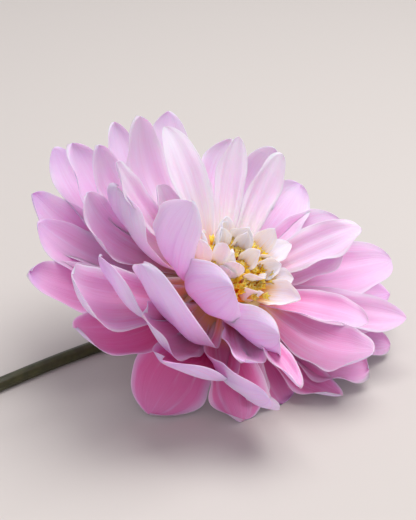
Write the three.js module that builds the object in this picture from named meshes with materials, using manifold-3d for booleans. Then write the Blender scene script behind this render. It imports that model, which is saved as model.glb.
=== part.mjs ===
// A dahlia bloom on its cut stem, lying on a table. Millimetres, +Z up, table at z = 0.
//
// The bloom is modelled in its own frame: +Z is the bloom's axis, X and Y span the ring
// plane of the lowest petals, and azimuth 0 is +X. Every petal is a curved blade given by
// one formula. The stem is modelled in the table's frame, because it runs along the table.
import * as THREE from 'three';
import Module from 'manifold-3d';

const wasm = await Module();
wasm.setup();

// ---- driving dimensions ----------------------------------------------------------------
const HEART_HEIGHT = 33.5;          // centre of the lowest petal ring above the table
const AXIS_ELEVATION = 54;          // degrees from the table up to the bloom's axis
const BBOX_CENTRE = [-10.2, 5.6];   // moved to the origin, so the part is centred

const PETAL_THICKNESS = 0.7;
const CLEARANCE = 0.3;              // air between neighbouring nodes

const RECEPTACLE_RADIUS = 13.5;
const RECEPTACLE_TOP = 9.4;
const RECEPTACLE_BOTTOM = -4;
const DISC_RADIUS = 11.2;           // dome that carries the yellow florets
const DISC_TOP = 12.8;
const ROUND_SIDES = 20;
const HEART_PLATE_TOP = 10.8;       // the cream petals stand on a plate under the disc

const STEM_RADIUS = 2.35;
const STEM_SINK = 0.15;             // flat that the stem's own weight presses on the table
const CALYX_RADIUS = 8.5;
const CALYX_DEPTH = 7;

// ---- petals ----------------------------------------------------------------------------
// The ways a petal is held: the direction of its blade at base, middle and tip, in degrees
// above the ring plane.
const PRESSED = [-50, -40, -10];    // bent down by the table
const SAGGING = [-25, -30, 5];      // hangs to the table
const SWEPT = [-40, -20, 40];       // swings back behind the bloom, then lifts its tip
const OPEN = [-15, -15, 20];
const FLAT = [5, 0, 25];
const LIFTED = [-25, -10, 45];      // open, with a raised tip
const HOOKED = [-25, 10, 70];       // open, with its tip turned up and in
const SCOOPED = [-10, 20, 75];      // curves up from the root like a scoop
const FURLED = [-20, 60, 95];       // folds over, so that its back shows
const UPRIGHT = [20, 70, 105];      // stands beside the heart and leans over it
const HOODED = [20, 50, 75];
const RISING = [15, 30, 50];
const LEANING = [45, 30, 25];       // stands at its root, then opens outwards

// Petals that share a size: level of the roots on the receptacle, length and width. The
// azimuths say where round the bloom they stand, and a seeded draw makes each a little
// longer or shorter than its group.
const PETAL_GROUPS = [
  // outermost rings, long behind the bloom and short under it
  { held: SWEPT, level: -2, length: 73, width: 24, azimuths: [118] },
  { held: SWEPT, level: 0, length: 82, width: 21, azimuths: [79, 101] },
  { held: SWEPT, level: -1, length: 66, width: 22, azimuths: [128, 146] },
  { held: PRESSED, level: -2, length: 40, width: 30, azimuths: [210] },
  { held: SAGGING, level: -1, length: 36, width: 26, azimuths: [248, 272] },
  { held: OPEN, level: 0, length: 60, width: 22, azimuths: [4, 320] },
  { held: OPEN, level: 0, length: 67, width: 22, azimuths: [338] },
  { held: LIFTED, level: 0, length: 50, width: 16, azimuths: [286] },
  { held: LIFTED, level: 1, length: 55, width: 26, azimuths: [302] },
  { held: LIFTED, level: 1, length: 65, width: 23, azimuths: [48, 328] },
  { held: LIFTED, level: 1, length: 71, width: 22, azimuths: [68, 104] },
  // middle rings
  { held: FLAT, level: 2, length: 47, width: 22, azimuths: [2, 21] },
  { held: FLAT, level: 2, length: 57, width: 24, azimuths: [342] },
  { held: FLAT, level: 4, length: 55, width: 17, azimuths: [320] },
  { held: HOOKED, level: 6, length: 54, width: 26, azimuths: [296] },
  { held: HOOKED, level: 4, length: 61, width: 21, azimuths: [37, 130] },
  { held: HOOKED, level: 4, length: 68, width: 20, azimuths: [89, 110] },
  // inner rings
  { held: RISING, level: 5, length: 34, width: 18, azimuths: [345] },
  { held: RISING, level: 6, length: 41, width: 12, azimuths: [36, 57] },
  { held: RISING, level: 6, length: 50, width: 12, azimuths: [123] },
  { held: RISING, level: 8, length: 30, width: 14, azimuths: [84, 112] },
  { held: LEANING, level: 6, length: 40, width: 15, azimuths: [298, 348] },
  { held: LEANING, level: 8, length: 45, width: 17, azimuths: [95] },
];

// Petals that stand out on the near side. Sway is how far the tip leans round the bloom,
// and twist rolls the blade about its midrib on the way to the tip.
const SINGLE_PETALS = [
  { held: LIFTED, azimuth: 181, level: -1, length: 55, width: 22, sway: -10, twist: 0 },
  { held: HOOKED, azimuth: 168, level: 6, length: 71, width: 25, sway: -5, twist: -10 },
  { held: SCOOPED, azimuth: 132, level: 5, length: 50, width: 24, sway: -5, twist: 60 },
  { held: SCOOPED, azimuth: 179, level: 5, length: 56, width: 23, sway: -18, twist: 0 },
  { held: SCOOPED, azimuth: 202, level: 3, length: 46, width: 24, sway: -16, twist: -40 },
  { held: SCOOPED, azimuth: 228, level: 0, length: 50, width: 28, sway: -26, twist: -15 },
  { held: SCOOPED, azimuth: 231, level: 2, length: 58, width: 28, sway: 6, twist: -30 },
  { held: FURLED, azimuth: 208, level: 6, length: 58, width: 28, sway: -30, twist: -25 },
  { held: RISING, azimuth: 237, level: 6, length: 36, width: 17, sway: -7, twist: -10 },
  { held: RISING, azimuth: 249, level: 4, length: 30, width: 10, sway: -8, twist: 0 },
  { held: LEANING, azimuth: 245, level: 4, length: 50, width: 10, sway: 0, twist: 0 },
  { held: UPRIGHT, azimuth: 160, level: 8, length: 54, width: 19, sway: -5, twist: 60 },
  { held: UPRIGHT, azimuth: 189, level: 7, length: 40, width: 28, sway: 8, twist: 0 },
  { held: HOODED, azimuth: 224, level: 8, length: 37, width: 24, sway: 10, twist: -45 },
];
const ROOT_RADIUS = 11.6;           // of a petal's root at level 0
const ROOT_FLARE = 0.27;            // wider by this much for each level up
const LENGTH_SPREAD = 0.02;         // most that a grouped petal's length departs from its group

// Small cream petals round and among the yellow florets. Their roots stand on the top of
// the receptacle at a radius. Turn rolls the whole blade about its midrib.
const STANDING = [80, 85, 80];
const OPENING = [65, 70, 60];
const SPREADING = [50, 45, 40];
const HEART_PETALS = [
  { held: OPENING, azimuth: 15, radius: 12, length: 14, width: 9, turn: 10 },
  { held: STANDING, azimuth: 50, radius: 9, length: 14, width: 10, turn: -30 },
  { held: OPENING, azimuth: 75, radius: 12, length: 12, width: 8, turn: 0 },
  { held: STANDING, azimuth: 95, radius: 12, length: 14, width: 11, turn: 25 },
  { held: OPENING, azimuth: 120, radius: 12, length: 12, width: 9, turn: 30 },
  { held: OPENING, azimuth: 145, radius: 12, length: 18, width: 9, turn: 50 },
  { held: STANDING, azimuth: 150, radius: 8, length: 18, width: 7, turn: 50 },
  { held: STANDING, azimuth: 195, radius: 6, length: 16, width: 8, turn: 25 },
  { held: STANDING, azimuth: 255, radius: 11, length: 10, width: 9, turn: -20 },
  { held: SPREADING, azimuth: 290, radius: 11, length: 17, width: 13, turn: 25 },
  { held: SPREADING, azimuth: 320, radius: 12, length: 11, width: 9, turn: 10 },
  { held: OPENING, azimuth: 335, radius: 10, length: 10, width: 13, turn: 10 },
  { held: SPREADING, azimuth: 355, radius: 12, length: 14, width: 10, turn: -15 },
];
const HEART_CUP = [48, 42];
const HEART_ROOT_LEVEL = 10.2;      // inside the plate the heart's petals stand on

// ---- blade formula ---------------------------------------------------------------------
const OUTLINE_BASE = 0.32;          // half width at the root, as a share of the widest
const OUTLINE_WIDEST = 0.62;        // where along the blade it is widest
const OUTLINE_TIP = 1.6;            // 1 is pointed, 2 is round
const TIP_SHARE = 0.14;             // blunt end left at the tip
const PETAL_CUP = [57, 32];         // half angle of the blade's hollow, at root and tip

const radians = THREE.MathUtils.degToRad;

function outline(u) {
  if (u < OUTLINE_WIDEST) {
    return 1 - (1 - OUTLINE_BASE) * (1 - u / OUTLINE_WIDEST) ** 2;
  }
  const past = (u - OUTLINE_WIDEST) / (1 - OUTLINE_WIDEST);
  return Math.max(TIP_SHARE, (1 - past * past) ** (1 / OUTLINE_TIP));
}

// seeded draw in 0..1, so the same numbers come out in every program
function draw(seed) {
  const wave = Math.sin(seed * 12.9898) * 43758.5453;
  return wave - Math.floor(wave);
}

// midrib: a cubic curve whose three legs have equal length and the row's directions
function midrib(petal) {
  const legs = petal.angles.map((angle, leg) => new THREE.Vector3(
    Math.cos(radians(angle)) * petal.length / 3,
    petal.sway * [0, 0.35, 0.65][leg],
    Math.sin(radians(angle)) * petal.length / 3,
  ));
  const p0 = new THREE.Vector3(petal.rootRadius, 0, petal.rootLevel);
  const p1 = p0.clone().add(legs[0]);
  const p2 = p1.clone().add(legs[1]);
  const p3 = p2.clone().add(legs[2]);
  return new THREE.CubicBezierCurve3(p0, p1, p2, p3);
}

// point of the blade at u along it and v across it (-1..1), raised off its middle surface
function bladePoint(petal, curve, u, v, raise) {
  const along = curve.getTangent(u);
  const inward = new THREE.Vector3(-along.z, 0, along.x).normalize();
  const across = new THREE.Vector3().crossVectors(inward, along).normalize();
  if (across.y < 0) {
    across.negate();
  }
  const roll = radians(petal.turn + petal.twist * u);
  across.applyAxisAngle(along, roll);
  inward.applyAxisAngle(along, roll);
  const bend = radians(THREE.MathUtils.lerp(petal.cup[0], petal.cup[1], u));
  const bendRadius = petal.width / 2 * outline(u) / bend;
  return curve.getPoint(u)
    .addScaledVector(across, (bendRadius - raise) * Math.sin(bend * v))
    .addScaledVector(inward, bendRadius - (bendRadius - raise) * Math.cos(bend * v));
}

function manifoldFromIndexed(positions, triangles) {
  return new wasm.Manifold(new wasm.Mesh({
    numProp: 3,
    vertProperties: Float32Array.from(positions),
    triVerts: Uint32Array.from(triangles),
  }));
}

// pushes the first and last point of a row of points outwards
function extendEnds(row, distance) {
  for (const [end, next] of [[0, 1], [row.length - 1, row.length - 2]]) {
    const outwards = row[end].clone().sub(row[next]).normalize();
    row[end].addScaledVector(outwards, distance);
  }
}

function bladeGrid(petal, curve, lengthSteps, widthSteps, raise, grow) {
  const grid = [];
  for (let i = 0; i <= lengthSteps; i += 1) {
    const u = Math.sin(i / lengthSteps * Math.PI / 2) ** 1.25;
    const row = [];
    for (let j = 0; j <= widthSteps; j += 1) {
      row.push(bladePoint(petal, curve, u, 2 * j / widthSteps - 1, raise));
    }
    extendEnds(row, grow);
    grid.push(row);
  }
  for (let j = 0; j <= widthSteps; j += 1) {
    extendEnds(grid.map((row) => row[j]), grow);
  }
  return grid;
}

// closed blade: its inner and outer faces are the same grid, half a thickness apart. A
// grown blade is bigger all round, and cuts the air between one node and the next.
function bladeSolid(petal, lengthSteps, widthSteps, grow = 0) {
  const half = PETAL_THICKNESS / 2 + grow;
  const curve = midrib(petal);
  const inner = bladeGrid(petal, curve, lengthSteps, widthSteps, half, grow);
  const outer = bladeGrid(petal, curve, lengthSteps, widthSteps, -half, grow);
  const positions = [...inner, ...outer].flat().flatMap((point) => point.toArray());
  const columns = widthSteps + 1;
  const rows = lengthSteps + 1;
  const at = (face, i, j) => face * rows * columns + i * columns + j;
  const triangles = [];
  const quad = (a, b, c, d) => triangles.push(a, b, c, a, c, d);
  for (let i = 0; i < lengthSteps; i += 1) {
    for (let j = 0; j < widthSteps; j += 1) {
      quad(at(0, i, j), at(0, i + 1, j), at(0, i + 1, j + 1), at(0, i, j + 1));
      quad(at(1, i, j + 1), at(1, i + 1, j + 1), at(1, i + 1, j), at(1, i, j));
    }
    quad(at(0, i, 0), at(1, i, 0), at(1, i + 1, 0), at(0, i + 1, 0));
    quad(at(0, i + 1, widthSteps), at(1, i + 1, widthSteps), at(1, i, widthSteps),
      at(0, i, widthSteps));
  }
  for (let j = 0; j < widthSteps; j += 1) {
    quad(at(0, 0, j + 1), at(1, 0, j + 1), at(1, 0, j), at(0, 0, j));
    quad(at(0, lengthSteps, j), at(1, lengthSteps, j), at(1, lengthSteps, j + 1),
      at(0, lengthSteps, j + 1));
  }
  return manifoldFromIndexed(positions, triangles).rotate([0, 0, petal.azimuth]);
}

// a coloured petal, whose root sits on the receptacle's side
function sidePetal({ azimuth, level, length, width, held, sway, twist }) {
  return {
    azimuth, length, width, sway, twist,
    rootRadius: Math.min(RECEPTACLE_RADIUS, ROOT_RADIUS + ROOT_FLARE * level),
    rootLevel: level, angles: held, turn: 0, cup: PETAL_CUP,
  };
}

function groupedPetals() {
  return PETAL_GROUPS.flatMap((group, ring) => group.azimuths.map((azimuth, place) => {
    const change = 2 * draw(10 * ring + place + 1) - 1;
    const length = group.length * (1 + LENGTH_SPREAD * change);
    return sidePetal({ ...group, azimuth, length, sway: 0, twist: 0 });
  }));
}

// a small petal, whose root sits on the receptacle's top
function heartPetal({ azimuth, radius, length, width, held, turn }) {
  return {
    azimuth, length, width, turn,
    rootRadius: radius, rootLevel: HEART_ROOT_LEVEL,
    angles: held, sway: 0, twist: 0, cup: HEART_CUP,
  };
}

// ---- solids of revolution --------------------------------------------------------------
function revolved(profile, sides) {
  const section = new wasm.CrossSection([profile], 'Positive');
  return wasm.Manifold.revolve(section, sides);
}

function largestBody(solid) {
  return solid.decompose().reduce((a, b) => (b.volume() > a.volume() ? b : a));
}

// ---- ray florets -----------------------------------------------------------------------
function receptacle() {
  return revolved([
    [0, RECEPTACLE_BOTTOM], [7, RECEPTACLE_BOTTOM], [RECEPTACLE_RADIUS - 1, -2.5],
    [RECEPTACLE_RADIUS + 0.6, 2], [RECEPTACLE_RADIUS + 0.6, RECEPTACLE_TOP - 1],
    [RECEPTACLE_RADIUS, RECEPTACLE_TOP], [0, RECEPTACLE_TOP],
  ], ROUND_SIDES);
}

function rayFlorets(grow = 0) {
  const petals = [...groupedPetals(), ...SINGLE_PETALS.map(sidePetal)];
  const blades = petals.map((petal) => bladeSolid(petal, 6, 3, grow));
  return wasm.Manifold.union([receptacle(), ...blades]);
}

// table plane in the bloom's own frame
function trimAtTable(solid) {
  const lean = radians(90 - AXIS_ELEVATION);
  return solid.trimByPlane([0, Math.sin(lean), Math.cos(lean)], -HEART_HEIGHT);
}

// ---- cream inner petals and yellow disc florets ----------------------------------------
function creamPetals(grow = 0) {
  const inside = DISC_RADIUS + CLEARANCE - grow;
  const plate = revolved([
    [0, RECEPTACLE_TOP + CLEARANCE],
    [RECEPTACLE_RADIUS + grow, RECEPTACLE_TOP + CLEARANCE],
    [RECEPTACLE_RADIUS - 0.6 + grow, HEART_PLATE_TOP + 0.6 + grow],
    [inside, HEART_PLATE_TOP + 0.6 + grow],
    [inside, HEART_PLATE_TOP + grow],
    [0, HEART_PLATE_TOP + grow],
  ], ROUND_SIDES);
  const blades = HEART_PETALS.map((petal) => bladeSolid(heartPetal(petal), 4, 2, grow));
  return wasm.Manifold.union([plate, ...blades]);
}

const FLORET_COUNT = 44;
const GOLDEN_ANGLE = 137.508;

function discFlorets() {
  const dome = revolved([
    [0, HEART_PLATE_TOP + CLEARANCE], [DISC_RADIUS, HEART_PLATE_TOP + CLEARANCE],
    [DISC_RADIUS, HEART_PLATE_TOP + 1], [DISC_RADIUS * 0.6, DISC_TOP - 0.4],
    [0, DISC_TOP],
  ], ROUND_SIDES);
  const florets = [];
  for (let i = 0; i < FLORET_COUNT; i += 1) {
    const reach = Math.sqrt((i + 0.5) / FLORET_COUNT);
    const height = 3.4 + 2.2 * reach + 1.4 * draw(i + 1);
    const floret = wasm.Manifold.cylinder(height, 0.65, 0.95, 5)
      .rotate([0, 18 * reach * reach, 0])
      .translate([reach * (DISC_RADIUS - 1), 0, DISC_TOP - 0.9 - 0.5 * reach * reach])
      .rotate([0, 0, i * GOLDEN_ANGLE]);
    florets.push(floret);
  }
  return wasm.Manifold.union([dome, ...florets]);
}

// ---- green parts -----------------------------------------------------------------------
function involucre() {
  const back = RECEPTACLE_BOTTOM - CLEARANCE;
  const cup = revolved([
    [0, back - CALYX_DEPTH], [STEM_RADIUS + 1.4, back - CALYX_DEPTH],
    [STEM_RADIUS + 2.6, back - CALYX_DEPTH + 1.5], [CALYX_RADIUS, back - 1.6],
    [CALYX_RADIUS, back], [0, back],
  ], ROUND_SIDES);
  const bracts = [];
  for (let i = 0; i < 5; i += 1) {
    bracts.push(bladeSolid({
      azimuth: 72 * i + 20 + 8 * draw(i + 60), length: 13 + 3 * draw(i + 70), width: 6.5,
      rootRadius: 5, rootLevel: back - 3.5, angles: [-35, -60, -80], sway: 0, turn: 0,
      twist: 0, cup: [30, 25],
    }, 4, 2));
  }
  return wasm.Manifold.union([cup, ...bracts]);
}

const NECK_BASE = RECEPTACLE_BOTTOM - CLEARANCE - CALYX_DEPTH;

// the neck leaves the calyx along the bloom's axis, bends down and round, and the stem
// then lies straight along the table
function stemCurve() {
  const elevation = radians(AXIS_ELEVATION);
  const axis = new THREE.Vector3(0, -Math.cos(elevation), Math.sin(elevation));
  const start = new THREE.Vector3(0, 0, HEART_HEIGHT)
    .addScaledVector(axis, NECK_BASE - CLEARANCE);
  const lying = STEM_RADIUS - STEM_SINK;
  const points = [
    start,
    start.clone().addScaledVector(axis, -9),
    new THREE.Vector3(-2, 24, 7.5),
    new THREE.Vector3(-7.5, 34, 3),
    new THREE.Vector3(-17, 41.5, lying),
    new THREE.Vector3(-30, 44, lying),
    new THREE.Vector3(-90, 48.5, lying),
  ];
  return new THREE.CatmullRomCurve3(points, false, 'centripetal');
}

// tube with flat ends, its rings square to the curve
function stemSolid() {
  const curve = stemCurve();
  const steps = 26;
  const sides = 10;
  const positions = [];
  const triangles = [];
  const frames = curve.computeFrenetFrames(steps, false);
  for (let i = 0; i <= steps; i += 1) {
    const centre = curve.getPointAt(i / steps);
    for (let j = 0; j < sides; j += 1) {
      const turn = 2 * Math.PI * j / sides;
      const point = centre.clone()
        .addScaledVector(frames.normals[i], STEM_RADIUS * Math.cos(turn))
        .addScaledVector(frames.binormals[i], STEM_RADIUS * Math.sin(turn));
      positions.push(...point.toArray());
    }
  }
  const last = steps * sides;
  for (let i = 0; i < steps; i += 1) {
    for (let j = 0; j < sides; j += 1) {
      const k = (j + 1) % sides;
      const a = i * sides + j;
      const b = i * sides + k;
      triangles.push(a, b, b + sides, a, b + sides, a + sides);
    }
  }
  for (let j = 1; j < sides - 1; j += 1) {
    triangles.push(0, j + 1, j, last, last + j, last + j + 1);
  }
  return manifoldFromIndexed(positions, triangles).trimByPlane([0, 0, 1], 0);
}

// ---- scene graph -----------------------------------------------------------------------
function geometryFromManifold(solid) {
  const mesh = solid.getMesh();
  const geometry = new THREE.BufferGeometry();
  geometry.setAttribute('position', new THREE.BufferAttribute(mesh.vertProperties, 3));
  geometry.setIndex(new THREE.BufferAttribute(mesh.triVerts, 1));
  return geometry;
}

function namedMesh(name, solid, colour, roughness) {
  const material = new THREE.MeshStandardMaterial({ color: colour, roughness, metalness: 0 });
  const mesh = new THREE.Mesh(geometryFromManifold(solid), material);
  mesh.name = name;
  return mesh;
}

const rays = largestBody(trimAtTable(rayFlorets()));
const raysWithAir = rayFlorets(CLEARANCE);
const cream = largestBody(creamPetals().subtract(raysWithAir));
const disc = largestBody(discFlorets().subtract(creamPetals(CLEARANCE)).subtract(raysWithAir));

const bloom = new THREE.Group();
bloom.position.set(0, 0, HEART_HEIGHT);
bloom.rotation.x = radians(90 - AXIS_ELEVATION);
bloom.add(namedMesh('ray_florets', rays, 0xe3a3cf, 0.55));
bloom.add(namedMesh('inner_ray_florets', cream, 0xf5e8dc, 0.5));
bloom.add(namedMesh('disc_florets', disc, 0xe9b32c, 0.6));
bloom.add(namedMesh('involucre', involucre(), 0x5d7038, 0.6));

const flower = new THREE.Group();
flower.position.set(-BBOX_CENTRE[0], -BBOX_CENTRE[1], 0);
flower.add(bloom);
flower.add(namedMesh('stem', stemSolid(), 0x4d5a2c, 0.55));

const root = new THREE.Group();
root.add(flower);

export default root;
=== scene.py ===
# %% [markdown]
# # A dahlia bloom lying on its stem
#
# The flower is a cut dahlia: some fifty thin cupped petals in rings round a cream and
# yellow heart, a green cup of bracts behind them, and a stem that bends down to the table.
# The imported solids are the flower's plain form. This notebook dresses them: each solid is
# replaced by finer pieces, built from the solids' own measures so that the form is kept,
# and each piece gets a plant's finish.
# %% Load the frame
import math

import bpy
from mathutils import Euler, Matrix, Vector


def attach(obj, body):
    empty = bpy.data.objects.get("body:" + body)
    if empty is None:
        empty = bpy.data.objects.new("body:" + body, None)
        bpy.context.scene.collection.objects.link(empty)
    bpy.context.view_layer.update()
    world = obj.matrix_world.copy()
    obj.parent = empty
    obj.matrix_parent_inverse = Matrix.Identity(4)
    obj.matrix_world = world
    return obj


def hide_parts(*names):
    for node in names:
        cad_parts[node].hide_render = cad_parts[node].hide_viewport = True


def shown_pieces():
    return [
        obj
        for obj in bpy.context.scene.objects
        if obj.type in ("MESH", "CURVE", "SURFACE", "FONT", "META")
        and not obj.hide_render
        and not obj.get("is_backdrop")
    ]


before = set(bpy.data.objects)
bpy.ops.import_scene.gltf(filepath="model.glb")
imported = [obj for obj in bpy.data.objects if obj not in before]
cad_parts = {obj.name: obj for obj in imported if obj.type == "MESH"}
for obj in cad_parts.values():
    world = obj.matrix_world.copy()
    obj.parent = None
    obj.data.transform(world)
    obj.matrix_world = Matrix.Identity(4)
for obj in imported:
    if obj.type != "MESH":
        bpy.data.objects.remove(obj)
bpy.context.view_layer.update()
print("nodes:", sorted(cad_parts))

# %% [markdown]
# ## Where the bloom sits
#
# The petals are worked out in the bloom's own frame, in millimetres: Z is the bloom's axis
# and azimuth runs round it. One lean and one shift then lay the bloom on the table. Working
# in the bloom's frame keeps every petal a simple rule of its place in the ring.
# %% Driving dimensions
MILLIMETRE = 0.001                      # in metres, the frame's unit
AXIS_ELEVATION = 54                     # degrees from the table up to the bloom's axis
LEAN = math.radians(90 - AXIS_ELEVATION)
HEART = Vector((10.2, -5.6, 33.5))      # centre of the lowest petal ring
RECEPTACLE_RADIUS = 13.5
RECEPTACLE_TOP = 9.4
RECEPTACLE_BOTTOM = -4
PLATE_TOP = 10.8                        # the cream petals stand on a plate
DISC_RADIUS = 11.2                      # dome that carries the yellow florets
DISC_TOP = 12.8
CALYX_RADIUS = 8.5
CALYX_DEPTH = 7
STEM_RADIUS = 2.35
STEM_SINK = 0.15                        # flat that the stem's own weight presses
CLEARANCE = 0.3                         # air between pieces that stand for different solids
GOLDEN_ANGLE = math.radians(137.508)


def draw(seed):
    """A number from 0 to 1 that looks random, but is always the same for the same seed."""
    return math.sin(seed * 12.9898) * 43758.5453 % 1


def new_object(name, data):
    """A new object at the origin, linked to the scene."""
    thing = bpy.data.objects.new(name, data)
    bpy.context.collection.objects.link(thing)
    return thing


print("bloom's heart, mm:", tuple(HEART), "leaning back", round(math.degrees(LEAN)), "degrees")

# %% [markdown]
# ## A small language for nodes
#
# Node trees are hard to read when each link is written out. The class below wraps a socket,
# so that Python's own signs add the Math or Vector Math node for us, and `Tree.add` makes
# any other node from its type, its settings and what goes into its sockets. The same two
# classes serve Geometry Nodes and shaders.
# %% Sockets that can be added and multiplied
class Wire:
    """A socket of a node tree that takes part in Python expressions."""

    def __init__(self, tree, socket):
        self.tree = tree
        self.socket = socket

    def joined(self, operation, first, second):
        """One sign of an expression, as a Math or a Vector Math node."""
        both = (first, second)
        if not any(is_vector(side) for side in both):
            return self.tree.function(operation, *both)
        if operation == "MULTIPLY" and not all(is_vector(side) for side in both):
            arrow, factor = both if is_vector(first) else (second, first)
            return self.tree.add("ShaderNodeVectorMath", {"operation": "SCALE"},
                                 {"Vector": arrow, "Scale": factor})
        return self.tree.vector(operation, *both)

    def __add__(self, other):
        return self.joined("ADD", self, other)

    def __radd__(self, other):
        return self.joined("ADD", other, self)

    def __sub__(self, other):
        return self.joined("SUBTRACT", self, other)

    def __rsub__(self, other):
        return self.joined("SUBTRACT", other, self)

    def __mul__(self, other):
        return self.joined("MULTIPLY", self, other)

    def __rmul__(self, other):
        return self.joined("MULTIPLY", other, self)

    def __truediv__(self, other):
        return self.joined("DIVIDE", self, other)

    def __pow__(self, other):
        return self.joined("POWER", self, other)


def is_vector(value):
    if isinstance(value, Wire):
        return value.socket.type == "VECTOR"
    return isinstance(value, (tuple, Vector))


class Tree:
    """A node tree, geometry or shader, with short ways to add and link its nodes."""

    def __init__(self, tree):
        self.tree = tree

    def add(self, kind, settings=None, sockets=None, out=0):
        """A new node, its settings and what feeds its sockets. Hands back one output."""
        node = self.tree.nodes.new(kind)
        for name, value in (settings or {}).items():
            setattr(node, name, value)
        for key, value in (sockets or {}).items():
            self.feed(node, key, value)
        return self.output(node, out)

    def output(self, node, out=0):
        shown = [socket for socket in node.outputs if socket.enabled]
        if isinstance(out, str):
            return Wire(self, next(socket for socket in shown if socket.name == out))
        return Wire(self, shown[out])

    def feed(self, node, key, value):
        shown = [socket for socket in node.inputs if socket.enabled]
        if isinstance(key, str):
            socket = next(socket for socket in shown if socket.name == key)
        else:
            socket = shown[key]
        if isinstance(value, Wire):
            self.tree.links.new(value.socket, socket)
        else:
            socket.default_value = value

    def function(self, operation, *values):
        """Any operation of the Math node, such as SINE or MAXIMUM."""
        return self.add("ShaderNodeMath", {"operation": operation}, dict(enumerate(values)))

    def vector(self, operation, *values):
        """Any operation of the Vector Math node."""
        return self.add("ShaderNodeVectorMath", {"operation": operation}, dict(enumerate(values)))

    def rotated(self, vector, axis, angle):
        """A vector turned about one of the frame's axes."""
        return self.add("ShaderNodeVectorRotate", {"rotation_type": axis + "_AXIS"},
                        {"Vector": vector, "Angle": angle})

    def rolled(self, vector, axis, angle):
        """A vector turned about another vector."""
        return self.add("ShaderNodeVectorRotate", {"rotation_type": "AXIS_ANGLE"},
                        {"Vector": vector, "Axis": axis, "Angle": angle})

    def arrow(self, x, y, z):
        return self.add("ShaderNodeCombineXYZ", None, {"X": x, "Y": y, "Z": z})

    def parts(self, vector):
        """The X, Y and Z of a vector."""
        node = self.add("ShaderNodeSeparateXYZ", None, {0: vector}).socket.node
        return [self.output(node, index) for index in range(3)]

    def ramp(self, value, low, high):
        """Smooth step from 0 at one limit of a value to 1 at the other."""
        return self.add("ShaderNodeMapRange", {"interpolation_type": "SMOOTHSTEP"}, {
            "Value": value, "From Min": low, "From Max": high, "To Min": 0.0, "To Max": 1.0})


print("node helpers ready")

# %% [markdown]
# ## One petal as a rule
#
# A dahlia petal is a thin blade that is rolled at its root, opens into a shallow trough,
# and ends in a blunt point. It could be sculpted, but fifty sculpted petals would be slow
# to change. Here a flat block of quads is bent by a rule instead: its midrib is a curve of
# three equal legs, and its width is wrapped on an arc round that midrib. The tree takes
# one point for each petal, with the petal's own sizes stored on it.
#
# Every tree here begins and ends alike, so these two ends are functions too.
# %% Both ends of a Geometry Nodes tree
def start_tree(name, sizes):
    """A new tree with a named input for each size, and its inputs as wires."""
    tree = bpy.data.node_groups.new(name, "GeometryNodeTree")
    tree.interface.new_socket("Geometry", in_out="INPUT", socket_type="NodeSocketGeometry")
    for size, value in sizes.items():
        kind = "NodeSocketInt" if isinstance(value, int) else "NodeSocketFloat"
        tree.interface.new_socket(size, in_out="INPUT", socket_type=kind)
    tree.interface.new_socket("Material", in_out="INPUT", socket_type="NodeSocketMaterial")
    tree.interface.new_socket("Geometry", in_out="OUTPUT", socket_type="NodeSocketGeometry")
    g = Tree(tree)
    outputs = tree.nodes.new("NodeGroupInput").outputs
    return g, {socket.name: Wire(g, socket) for socket in outputs if socket.name}


def end_tree(g, geometry, inlet):
    """Smooth shading, instances made real, the material, and the way out."""
    smooth = g.add("GeometryNodeSetShadeSmooth", None,
                   {"Geometry": geometry, "Shade Smooth": True})
    whole = g.add("GeometryNodeRealizeInstances", None, {"Geometry": smooth})
    finished = g.add("GeometryNodeSetMaterial", None,
                     {"Geometry": whole, "Material": inlet["Material"]})
    g.feed(g.tree.nodes.new("NodeGroupOutput"), "Geometry", finished)
    return g.tree


# %% Small steps that trees share
def attribute(g, name):
    return g.add("GeometryNodeInputNamedAttribute", {"data_type": "FLOAT"}, {"Name": name})


def stored(g, geometry, name, value):
    return g.add("GeometryNodeStoreNamedAttribute", {"data_type": "FLOAT", "domain": "POINT"},
                 {"Geometry": geometry, "Name": name, "Value": value})


def moved(g, geometry, position):
    return g.add("GeometryNodeSetPosition", None, {"Geometry": geometry, "Position": position})


def laid_down(g, point):
    """A point of the bloom's frame, leaned back and set over the table, in millimetres."""
    return g.rotated(point, "X", LEAN) + tuple(HEART)


# %% Sizes every petal shares
PETAL_SIZES = {
    "Steps Along": 32,
    "Steps Across": 22,
    "Thickness": 0.3,
    "Edge Thinning": 0.7,       # share of the thickness lost at the margin
    "Root Width": 0.32,         # share of the widest
    "Widest At": 0.62,          # place along the blade
    "Narrowest": 0.03,          # blunt end left at the tip, as a share of the widest
    "Scallop": 0.03,            # how far the outline swings in and out
    "Table Gap": 0.05,
    "Table Easing": 0.6,        # how gently a petal meets the table
}
LEG_SWAY = (0.0, 0.35, 0.65)    # how a petal's sway is shared among its three legs
PHASE_SPREAD = 6.28             # the margin's waves start anywhere in about a full turn
WAVE_SLANT = 1.2                # radians a wave runs ahead between midrib and margin
SCALLOP_PITCH = 1.4             # scallops to each wave of the margin
SCALLOP_SHIFT = 40              # keeps scallops and waves out of step
PLEAT_EASE = 0.8                # less than 1 puts the deepest pleats nearer the root
ROOT_SPACING = 1.25             # more than 1 sets the steps closer near the root
MARGIN_SPACING = 0.65           # 0 spaces the steps across evenly, 1 crowds the margins


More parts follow.
